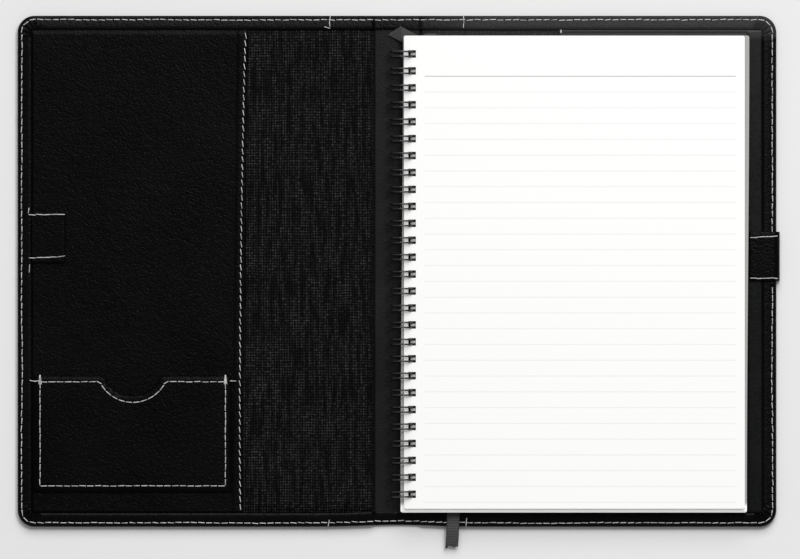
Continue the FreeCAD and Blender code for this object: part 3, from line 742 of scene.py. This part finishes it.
# Bar tacks over the mouth's ends, and the tails of the thread
tack_y = card_high.y - card_seam
for x in (card_low.x + card_seam, card_high.x - card_seam):
    for shift, lean in ((-0.35, 84), (0.0, 92), (0.4, 98)):
        spot = Vector((x + shift * MM, tack_y + 1.1 * MM, card_height(x, tack_y) + 0.15 * MM))
        add_stitch(bm, spot, math.radians(lean), 4.6 * MM)
for x, shift, lean in ((card_low.x, -1.4, 6), (card_low.x, -3.6, -12), (card_high.x, 3.9, -2)):
    x += math.copysign(card_seam, -shift) + shift * MM
    spot = Vector((x, tack_y + 0.4 * MM, card_height(x, tack_y) + 0.12 * MM))
    add_stitch(bm, spot, math.radians(lean), 3.0 * MM)
sewn("card_pocket_stitches", bm, "front_cover", "card_pocket_stitching")


# Front tab
# A short end of strap at the front leaf's fore edge: leatherette folded over on itself at the nose, two plies
# thick, tucked under the turned edge and sewn along both long sides.
tab_low, tab_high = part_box("front_tab")
tab_ply = 0.72 * MM
fold_radius = (tab_high.z - tab_low.z - tab_ply) / 2
ply_steps = 26


def dull_edges(piece, width):
    """Rounds a cut edge a little, where the knife's corner has worn."""
    edge = piece.modifiers.new("cut_edge", "BEVEL")
    edge.width = width
    edge.segments = 2
    edge.limit_method = "ANGLE"


def tab_lift(x):
    """The tab's free end stands a little off the panel."""
    return 0.35 * MM * step(tab_low.x + 4 * MM, tab_high.x, x)


bm = bmesh.new()
root = bm.verts.new((tab_low.x, tab_low.y, tab_low.z + tab_ply / 2))
flat = Vector((tab_high.x - tab_ply / 2 - fold_radius - tab_low.x, 0, 0))
run = sweep(bm, [root], 16, travel=flat)
fold_at = (tab_low.x + flat.x, tab_low.y, tab_low.z + tab_ply / 2 + fold_radius)
run = sweep(bm, run, 8, angle=-math.pi, centre=fold_at, axis=(0, 1, 0))
sweep(bm, run, 16, travel=-flat)
sweep(bm, bm.verts[:] + bm.edges[:], ply_steps, travel=(0, tab_high.y - tab_low.y, 0))
for vert in bm.verts:
    sway = 0.18 * MM * noise.noise(Vector((vert.co.x / 9, vert.co.y / 11, 8)) / MM)
    vert.co.z += tab_lift(vert.co.x) + sway * step(tab_low.x, tab_low.x + 5 * MM, vert.co.x) + 0.1 * MM
tab = finished("tab_fold", bm, panel_finish, outward=False)
give_ply(tab, tab_ply, 0.0)
dull_edges(tab, 0.12 * MM)
settle(tab, "front_cover", "leatherette", "front_tab")

bm = bmesh.new()
draw = random.Random(31)
on_tab = lambda x, y: tab_high.z + tab_lift(x) + stitch_seat
top_seam = tab_high.y - 1.0 * MM
foot_seam = tab_low.y + 2.0 * MM
for seam, rise in ((top_seam, 0.1), (foot_seam, 1.1)):
    seam_end = (tab_high.x - 0.1 * MM, seam + rise * MM, 0)
    stitch_row(bm, (tab_low.x - 1.5 * MM, seam, 0), seam_end, draw, on_tab, 5, slant=6.0, fill=0.97)
on_edge = lambda x, y: leaf_top + 0.14 * MM
for start_x, start_y, end_x, end_y in [
    (-1.7 * MM, tab_high.y - 0.4 * MM, -1.4 * MM, tab_high.y + 2.6 * MM),
    (-1.0 * MM, tab_low.y - 5.4 * MM, -1.0 * MM, tab_low.y - 0.6 * MM),
]:
    stitch_row(bm, (tab_low.x + start_x, start_y, 0), (tab_low.x + end_x, end_y, 0), draw, on_edge, 1)
sewn("tab_stitches", bm, "front_cover", "tab_stitching")


# Back pocket panel
# A panel of smooth leatherette sewn under the turned edge of the back leaf. The pad's backing board slides in
# under it, and it stands raised over the board and falls to its seams just outside the pages.
back_low, back_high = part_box("back_pocket_panel")
back_size = back_high - back_low
page_low, page_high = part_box("page_block")
page_size = page_high - page_low
shelf = 4.3 * MM
back_ply = 0.6 * MM
# Its last colour is a painted sheen, laid lighter over the head of the back panel
back_finish = black_leatherette(
    "leatherette_back_panel", "#080909", "#0d0e0d", 0.6 * MM, 0.012 * MM, 0.3, 0.12, "#292a29"
)


def back_height(x, y):
    """The back panel's face, raised over the backing board."""
    past = max(x - page_high.x, y - page_high.y, page_low.y - y) - 0.9 * MM
    edge = min(back_high.x - x, y - back_low.y, back_high.y - y)
    slack = 0.1 * MM * noise.noise(Vector((x / 12, y / 30, 12)) / MM)
    roll = 0.3 * MM * (1 - step(0, 0.8 * MM, edge))
    return back_high.z - 0.02 * MM - abs(slack) - (back_high.z - shelf) * step(0, 1.6 * MM, past) - roll


bm = grid(90, 170)
for vert in bm.verts:
    x = back_low.x + crowded(vert.co.x + 0.5) * back_size.x
    y = back_low.y + crowded(vert.co.y + 0.5) * back_size.y
    vert.co = (x, y, back_height(x, y))
back_panel = finished("pocket_panel_back", bm, back_finish, outward=False)
give_ply(back_panel, back_ply)
settle(back_panel, "back_cover", "smooth_leatherette", "back_pocket_panel")

# The mouth is tacked at the head, and the thread's end shows above the pages
bm = bmesh.new()
tack_x, tack_y = back_low.x + 0.9 * MM, page_high.y + 1.9 * MM
for shift, lean in ((0.0, 88), (0.25, 97)):
    spot = Vector((tack_x + shift * MM, tack_y, back_height(tack_x, tack_y) - 0.02 * MM))
    add_stitch(bm, spot, math.radians(lean), 2.4 * MM)
sewn("back_pocket_tack", bm, "back_cover")


# Fore-edge strap
# A two-ply leatherette strap wraps the back leaf's fore edge, from the outside up and over the turned edge,
# and is sewn down along both long sides.
strap_thick = 1.5 * MM
strap_top = strap_high.z - strap_thick / 2
wrap_radius = 2.5 * MM
wrap_x = strap_high.x - strap_thick / 2 - wrap_radius
bm = bmesh.new()
start = bm.verts.new((strap_low.x, strap_low.y, strap_top))
run = sweep(bm, [start], 12, travel=(wrap_x - strap_low.x, 0, 0))
run = sweep(bm, run, 10, angle=math.pi / 2, centre=(wrap_x, 0, strap_top - wrap_radius), axis=(0, 1, 0))
sweep(bm, run, 5, travel=(0, 0, strap_low.z - (strap_top - wrap_radius)))
sweep(bm, bm.verts[:] + bm.edges[:], ply_steps, travel=(0, strap_high.y - strap_low.y, 0))
for vert in bm.verts:
    side = min(vert.co.y - strap_low.y, strap_high.y - vert.co.y)
    if vert.co.z > strap_top - 0.1 * MM:
        vert.co.z += 0.12 * MM * step(0, 3 * MM, side) - 0.06 * MM
strap = finished("strap_wrap", bm, panel_finish, outward=False)
give_ply(strap, strap_thick - 0.1 * MM, 0.0)
dull_edges(strap, 0.2 * MM)
settle(strap, "back_cover", "leatherette", "closure_strap")

bm = bmesh.new()
draw = random.Random(41)
on_strap = lambda x, y: strap_high.z - 0.02 * MM
seam_start, seam_end = strap_low.x + 0.2 * MM, wrap_x + 2.0 * MM
top_seam, foot_seam = strap_high.y - 3.0 * MM, strap_low.y + 1.3 * MM
for seam, rise in ((top_seam, 0.8), (foot_seam, 0.0)):
    far_end = (seam_end, seam + rise * MM, 0)
    stitch_row(bm, (seam_start, seam, 0), far_end, draw, on_strap, 4, slant=7.0, fill=0.99)
sewn("strap_stitches", bm, "back_cover", "strap_stitching")


# Ribbon marker
# A woven 6 mm ribbon is glued in under the turned edge at the head of the spine, runs loose under the pad and
# hangs out past the foot, where it is cut off and has begun to fray.
RIBBON_ROUTE = [
    (16.4, 118.99, 3.7), (19.6, 77.6, 3.7), (22.8, 33.84, 3.7), (25.6, -12.28, 3.7), (27.7, -56.03, 3.7),
    (28.6, -95.05, 3.7), (28.4, -113.0, 3.7), (28.2, -119.6, 3.8), (28.2, -121.4, 4.95),
    (28.0, -127.0, 5.0), (27.8, -131.8, 4.6), (27.4, -138.0, 2.85),
]
ribbon_width = 6.35 * MM
ribbon_thick = 0.3 * MM
curve = bpy.data.curves.new("ribbon_route", "CURVE")
curve.dimensions = "3D"
spline = curve.splines.new("NURBS")
spline.points.add(len(RIBBON_ROUTE) - 1)
for point, spot in zip(spline.points, RIBBON_ROUTE):
    point.co = (*(c * MM for c in spot), 1.0)
spline.order_u = 3
spline.use_endpoint_u = True
curve.resolution_u = 12
route_object = bpy.data.objects.new("ribbon_route", curve)
route_mesh = bpy.data.meshes.new_from_object(route_object)
ribbon_line = [v.co.copy() for v in route_mesh.vertices]
bpy.data.objects.remove(route_object)
bpy.data.meshes.remove(route_mesh)

ribbon_finish, tree, place = new_finish("ribbon_woven_polyester")
# Grosgrain ribs lie across the ribbon, 0.4 mm apart, drawn at 0.8 mm so that they show
across = node(tree, "UVMap", uv_map="along")
rib_wave = node(
    tree, "TexWave", {"Vector": across, "Scale": math.pi / 10 / 0.8, "Distortion": 0.6}, bands_direction="Y"
)
fuzz = node(tree, "TexNoise", {"Vector": place, "Scale": 1 / (0.6 * MM), "Detail": 4.0})
ribs = node(tree, "Math", {0: rib_wave.outputs[1], 1: fuzz}, operation="MULTIPLY")
ribbon_tone = node(tree, "Mix", {0: ribs, 6: "#0a0a0a", 7: "#565655"}, data_type="RGBA")
ribbon_bump = node(tree, "Bump", {"Height": ribs, "Strength": 1.0, "Distance": 0.22 * MM})
look = {"Base Color": ribbon_tone, "Roughness": 0.55, "IOR": 1.5, "Sheen Weight": 0.15, "Normal": ribbon_bump}
surface = node(tree, "BsdfPrincipled", look)
node(tree, "OutputMaterial", {"Surface": surface})

def lay_out(bm, read):
    """Gives the mesh of a ribbon its coordinates across and along, in millimetres."""
    layer = bm.loops.layers.uv.new("along")
    for face in bm.faces:
        for loop in face.loops:
            loop[layer].uv = read(loop.vert.co / MM)


bm = bmesh.new()
threads = 8
heading = (ribbon_line[1] - ribbon_line[0]).normalized()
first = ribbon_line[0] + Vector((heading.y, -heading.x, 0)) * ribbon_width / 2
breadth = Vector((-heading.y, heading.x, 0)) * ribbon_width
row = [bm.verts.new(first + breadth * n / threads) for n in range(threads + 1)]
run = row + [bm.edges.new(pair) for pair in zip(row, row[1:])]
for before, here, after in zip(ribbon_line, ribbon_line[1:], ribbon_line[2:] + ribbon_line[-1:]):
    run = sweep(bm, run, 1, travel=here - before)
    onward = after - before
    wanted = math.atan2(onward.y, onward.x)
    turn = wanted - math.atan2(heading.y, heading.x)
    heading = Vector((math.cos(wanted), math.sin(wanted), 0))
    bmesh.ops.rotate(bm, verts=only_verts(run), cent=here, matrix=Matrix.Rotation(turn, 3, "Z"))
draw = random.Random(57)
for vert in only_verts(run):
    vert.co += Vector((0, draw.uniform(-0.9, 0.5) * MM, draw.uniform(-0.05, 0.1) * MM))
lay_out(bm, lambda spot: (spot.x, spot.y))
ribbon = finished("ribbon_strip", bm, ribbon_finish, outward=False)
give_ply(ribbon, ribbon_thick, 0.0)
settle(ribbon, "back_cover", "ribbon", "ribbon_marker")

# The ribbon's root stands up in a fold over the head of the spine, where it is glued
ROOT_CORNERS = [Vector((-4.6, 118.3)), Vector((1.8, 122.6)), Vector((10.4, 118.3)), Vector((2.6, 114.6))]
bm = grid(14, 14)
for vert in bm.verts:
    u, v = vert.co.x + 0.5, vert.co.y + 0.5
    a, b, c, d = ROOT_CORNERS
    spot = a * (1 - u) * (1 - v) + b * u * (1 - v) + c * u * v + d * (1 - u) * v
    ridge = 1 - abs(u + v - 1)
    vert.co = (spot.x * MM, spot.y * MM, (2.85 + 1.3 * ridge**1.3) * MM)
lay_out(bm, lambda spot: (spot.x + spot.y, spot.y - spot.x))
root = finished("ribbon_root", bm, ribbon_finish, outward=False)
give_ply(root, ribbon_thick)
bend_at_spine(root, 1)


# Notepad pages
# Some seventy sheets of 80 gsm white paper, corners rounded, punched with a row of square holes and ruled in
# pale grey under a darker heading line. The stack has fanned a little past its top sheet.
hole_size = 3.8 * MM
hole_x = page_low.x + 2.15 * MM
loop_pitch = 25.4 / 3 * MM
loop_middle = -1.4 * MM
loop_count = 27
loop_places = [loop_middle + (n - (loop_count - 1) / 2) * loop_pitch for n in range(loop_count)]
tongue_gap = 1.15 * MM
tongue_half = 0.62 * MM
page_corner = 1.0 * MM
bands = 20
tongue_band = bands - 3
pressed = 0.96
top_sheet = 0.12 * MM
rule_pitch = 7.888 * MM
heading_y = 97.5 * MM
rule_left, rule_right = 13.8 * MM, 169.4 * MM
rule_count = 27

paper_finish, tree, place = new_finish("paper_80gsm_ruled")
axes = node(tree, "SeparateXYZ", {0: place})
down = node(tree, "Math", {0: heading_y, 1: axes.outputs[1]}, operation="SUBTRACT")
lines = node(tree, "Math", {0: down, 1: rule_pitch}, operation="DIVIDE")
nearest = node(tree, "Math", {0: lines}, operation="ROUND")
away = node(tree, "Math", {0: lines, 1: nearest}, operation="SUBTRACT")
apart = node(tree, "Math", {0: away}, operation="ABSOLUTE")
# The rules are printed 0.25 mm wide
inked = node(tree, "Math", {0: apart, 1: 0.5 * 0.5 * MM / rule_pitch}, operation="LESS_THAN")
ink = inked
for reading, limit, way in [
    (nearest, -0.5, "GREATER_THAN"),
    (nearest, rule_count + 0.5, "LESS_THAN"),
    (axes.outputs[0], rule_left, "GREATER_THAN"),
    (axes.outputs[0], rule_right, "LESS_THAN"),
    (axes.outputs[2], page_high.z - 0.05 * MM, "GREATER_THAN"),
]:
    within = node(tree, "Math", {0: reading, 1: limit}, operation=way)
    ink = node(tree, "Math", {0: ink, 1: within}, operation="MULTIPLY")
is_heading = node(tree, "Math", {0: nearest, 1: 0.5}, operation="LESS_THAN")
ink_tone = node(tree, "Mix", {0: is_heading, 6: "#e7e7e7", 7: "#bcbcbc"}, data_type="RGBA")
pulp = node(tree, "TexNoise", {"Vector": place, "Scale": 1 / (0.7 * MM), "Detail": 5.0})
bare = node(tree, "Mix", {0: pulp, 6: "#efefee", 7: "#f7f7f6"}, data_type="RGBA")
page_tone = node(tree, "Mix", {0: ink, 6: bare, 7: ink_tone}, data_type="RGBA")
pulp_bump = node(tree, "Bump", {"Height": pulp, "Strength": 0.15, "Distance": 0.03 * MM})
look = {
    "Base Color": page_tone, "Roughness": 0.85, "IOR": 1.5, "Specular IOR Level": 0.06, "Normal": pulp_bump,
}
surface = node(tree, "BsdfPrincipled", look)
node(tree, "OutputMaterial", {"Surface": surface})

edge_finish, tree, place = new_finish("paper_cut_edges")
# Gaps between the cut sheets, 0.1 mm apart and drawn at 0.3 mm, make the stack's edge greyer than its face
sheet_scale = math.pi / 10 / (0.3 * MM)
level = node(tree, "TexWave", {"Vector": place, "Scale": sheet_scale}, bands_direction="Z")
fray = node(tree, "TexNoise", {"Vector": place, "Scale": 1 / (0.5 * MM), "Detail": 4.0})
mixed = node(tree, "Math", {0: level.outputs[1], 1: fray}, operation="MULTIPLY")
# Painted shade greys the stack's sides, and painted light keeps its foot white
axes = node(tree, "SeparateXYZ", {0: place})
painted_light_at_foot = node(tree, "MapRange", {0: axes.outputs[1], 1: page_low.y + 3 * MM, 2: page_low.y + 1 * MM})
deep_tone = node(tree, "Mix", {0: painted_light_at_foot, 6: "#a4a4a2", 7: "#fafaf9"}, data_type="RGBA")
light_tone = node(tree, "Mix", {0: painted_light_at_foot, 6: "#c2c2c0", 7: "#fefefd"}, data_type="RGBA")
edge_tone = node(tree, "Mix", {0: mixed, 6: deep_tone, 7: light_tone}, data_type="RGBA")
edge_bump = node(tree, "Bump", {"Height": mixed, "Strength": 0.4, "Distance": 0.06 * MM})
look = {"Base Color": edge_tone, "Roughness": 0.9, "IOR": 1.5, "Specular IOR Level": 0.2, "Normal": edge_bump}
surface = node(tree, "BsdfPrincipled", look)
node(tree, "OutputMaterial", {"Surface": surface})


def punched_sheet(bm, bottom, thickness, spread, shift, tongue=False):
    """A punched sheet or band of sheets, its outside edges spread past the top sheet's."""
    before = set(bm.verts)
    made = bmesh.ops.create_grid(bm, x_segments=1, y_segments=1, size=0.5)["verts"]
    for vert in made:
        x = page_low.x + (vert.co.x + 0.5) * page_size.x
        vert.co = (x, page_low.y + (vert.co.y + 0.5) * page_size.y, bottom)
    bmesh.ops.bevel(
        bm, geom=made, offset=page_corner, segments=5, affect="VERTICES", profile=0.5, material=-1
    )

    def cut(where, way):
        mine = [v for v in bm.verts if v not in before]
        geom = mine + linked(mine, "link_edges") + linked(mine, "link_faces")
        bmesh.ops.bisect_plane(bm, geom=geom, plane_co=where, plane_no=way)

    tongue_x = hole_x + tongue_gap
    for x in (hole_x, hole_x + hole_size) + ((tongue_x,) if tongue else ()):
        cut((x, 0, 0), (1, 0, 0))
    for y in loop_places:
        for edge in (-hole_size / 2, hole_size / 2) + ((-tongue_half, tongue_half) if tongue else ()):
            cut((0, y + edge, 0), (0, 1, 0))
    faces = linked([v for v in bm.verts if v not in before], "link_faces")
    punched = []
    for face in faces:
        middle = face.calc_center_median()
        if abs(middle.x - hole_x - hole_size / 2) < hole_size / 2:
            off = min(abs(middle.y - y) for y in loop_places)
            kept = tongue and middle.x > tongue_x and off < tongue_half
            if off < hole_size / 2 - 0.1 * MM and not kept:
                punched.append(face)
    bmesh.ops.delete(bm, geom=punched, context="FACES")
    faces = [f for f in faces if f.is_valid]
    lifted = bmesh.ops.extrude_face_region(bm, geom=faces)["geom"]
    bmesh.ops.translate(bm, verts=only_verts(lifted), vec=(0, 0, thickness))
    for vert in (v for v in bm.verts if v not in before):
        x, y = vert.co.x, vert.co.y
        foot = step(page_high.y, page_low.y, y)
        if x < hole_x - 0.1 * MM:
            vert.co.x -= spread * (0.35 + 1.35 * foot) * MM
        if x > page_high.x - 3 * MM:
            vert.co.x += spread * (2.2 - 1.2 * foot) * MM
        if y < page_low.y + 2.5 * MM:
            vert.co.y -= spread * 1.9 * MM
        vert.co.x += shift.x
        vert.co.y += shift.y


draw = random.Random(71)
bm = bmesh.new()
band = (page_high.z - top_sheet - page_low.z) / bands
for n in range(bands):
    depth = (bands - n) / bands
    shift = Vector((draw.uniform(-0.1, 0.1), draw.uniform(-0.12, 0.12), 0)) * MM
    # Slivers left by the punch stand between the wire's fingers in one band near the top of the stack
    punched_sheet(bm, page_low.z + n * band, band * pressed, step(0.1, 0.34, depth), shift, n == tongue_band)
stack = finished("page_stack", bm, edge_finish, hard=30)
bm = bmesh.new()
punched_sheet(bm, page_high.z - top_sheet, top_sheet, 0.0, Vector((0, 0, 0)))
top_page = finished("page_top_sheet", bm, paper_finish, hard=30)
for piece in (stack, top_page):
    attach(piece, "back_cover")
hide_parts("page_block")


# Twin-loop wire
# One length of nylon-coated steel wire, 0.9 mm thick, is bent into pairs of fingers and closed through the
# holes, three pairs to the inch. The coating is smooth and glossy, and each loop carries a narrow highlight.
wire_radius = 0.45 * MM
twin = 2.45 * MM
loop_radius = 6.2 * MM
loop_x = 2.65 * MM
loop_z = 8.75 * MM
base_bend = 0.7 * MM
open_turn = math.radians(34)
wire_finish, tree, place = new_finish("steel_wire_nylon_coated")
scuffs = node(tree, "TexNoise", {"Vector": place, "Scale": 1 / (1.4 * MM), "Detail": 3.0})
wire_rough = node(tree, "MapRange", {0: scuffs, 1: 0.3, 2: 0.7, 3: 0.24, 4: 0.36})
wire_bump = node(tree, "Bump", {"Height": scuffs, "Strength": 0.12, "Distance": 0.05 * MM})
wire_tone = node(tree, "Mix", {0: scuffs, 6: "#0c0c0d", 7: "#1a1a1b"}, data_type="RGBA")
look = {
    "Base Color": wire_tone, "Roughness": wire_rough, "IOR": 1.5, "Coat Weight": 0.4,
    "Coat Roughness": 0.15, "Normal": wire_bump,
}
surface = node(tree, "BsdfPrincipled", look)
node(tree, "OutputMaterial", {"Surface": surface})

bm = bmesh.new()
gap = loop_pitch - twin
start_turn = open_turn / 2
axis_point = Vector((loop_x, 0, loop_z))
ring_start = axis_point + Matrix.Rotation(-start_turn, 3, "Y") @ Vector((0, 0, -loop_radius))
tangent = (Matrix.Rotation(-start_turn, 3, "Y") @ Vector((1, 0, 0))).normalized()
inward = (axis_point - ring_start).normalized()
half_gap = gap / 2 - base_bend
circle = bmesh.ops.create_circle(bm, segments=8, radius=wire_radius)["verts"]
bmesh.ops.rotate(bm, verts=circle, matrix=Matrix.Rotation(math.pi / 2, 3, "X"))
base = ring_start - tangent * base_bend + Vector((0, -twin / 2 - gap / 2, 0))
bmesh.ops.translate(bm, verts=circle, vec=base)
run = circle + linked(circle, "link_edges")
run = sweep(bm, run, 2, travel=(0, half_gap, 0))
corner = ring_start + Vector((0, -twin / 2 - base_bend, 0))
run = sweep(bm, run, 4, angle=-math.pi / 2, centre=corner, axis=inward)
run = sweep(bm, run, 40, angle=-(2 * math.pi - open_turn), centre=axis_point, axis=(0, 1, 0))
tip = axis_point + Matrix.Rotation(start_turn, 3, "Y") @ Vector((0, 0, -loop_radius))
tip_in = (axis_point - tip).normalized()
run = sweep(bm, run, 8, angle=math.pi, centre=tip, axis=tip_in)
run = sweep(bm, run, 40, angle=2 * math.pi - open_turn, centre=axis_point, axis=(0, 1, 0))
corner = ring_start + Vector((0, twin / 2 + base_bend, 0))
run = sweep(bm, run, 4, angle=-math.pi / 2, centre=corner, axis=inward)
sweep(bm, run, 2, travel=(0, half_gap, 0))
finger = bm.verts[:] + bm.edges[:] + bm.faces[:]
for y in loop_places[1:]:
    copy = bmesh.ops.duplicate(bm, geom=finger)["geom"]
    bmesh.ops.translate(bm, verts=only_verts(copy), vec=(0, y - loop_places[0], 0))
bmesh.ops.translate(bm, verts=bm.verts, vec=(0, loop_places[0], 0))
bmesh.ops.remove_doubles(bm, verts=bm.verts, dist=0.005 * MM)
bmesh.ops.holes_fill(bm, edges=[e for e in bm.edges if e.is_boundary], sides=8)
wire = finished("wire_twin_loops", bm, wire_finish, hard=50)
settle(wire, "back_cover", "coated_wire", "wire_binding")
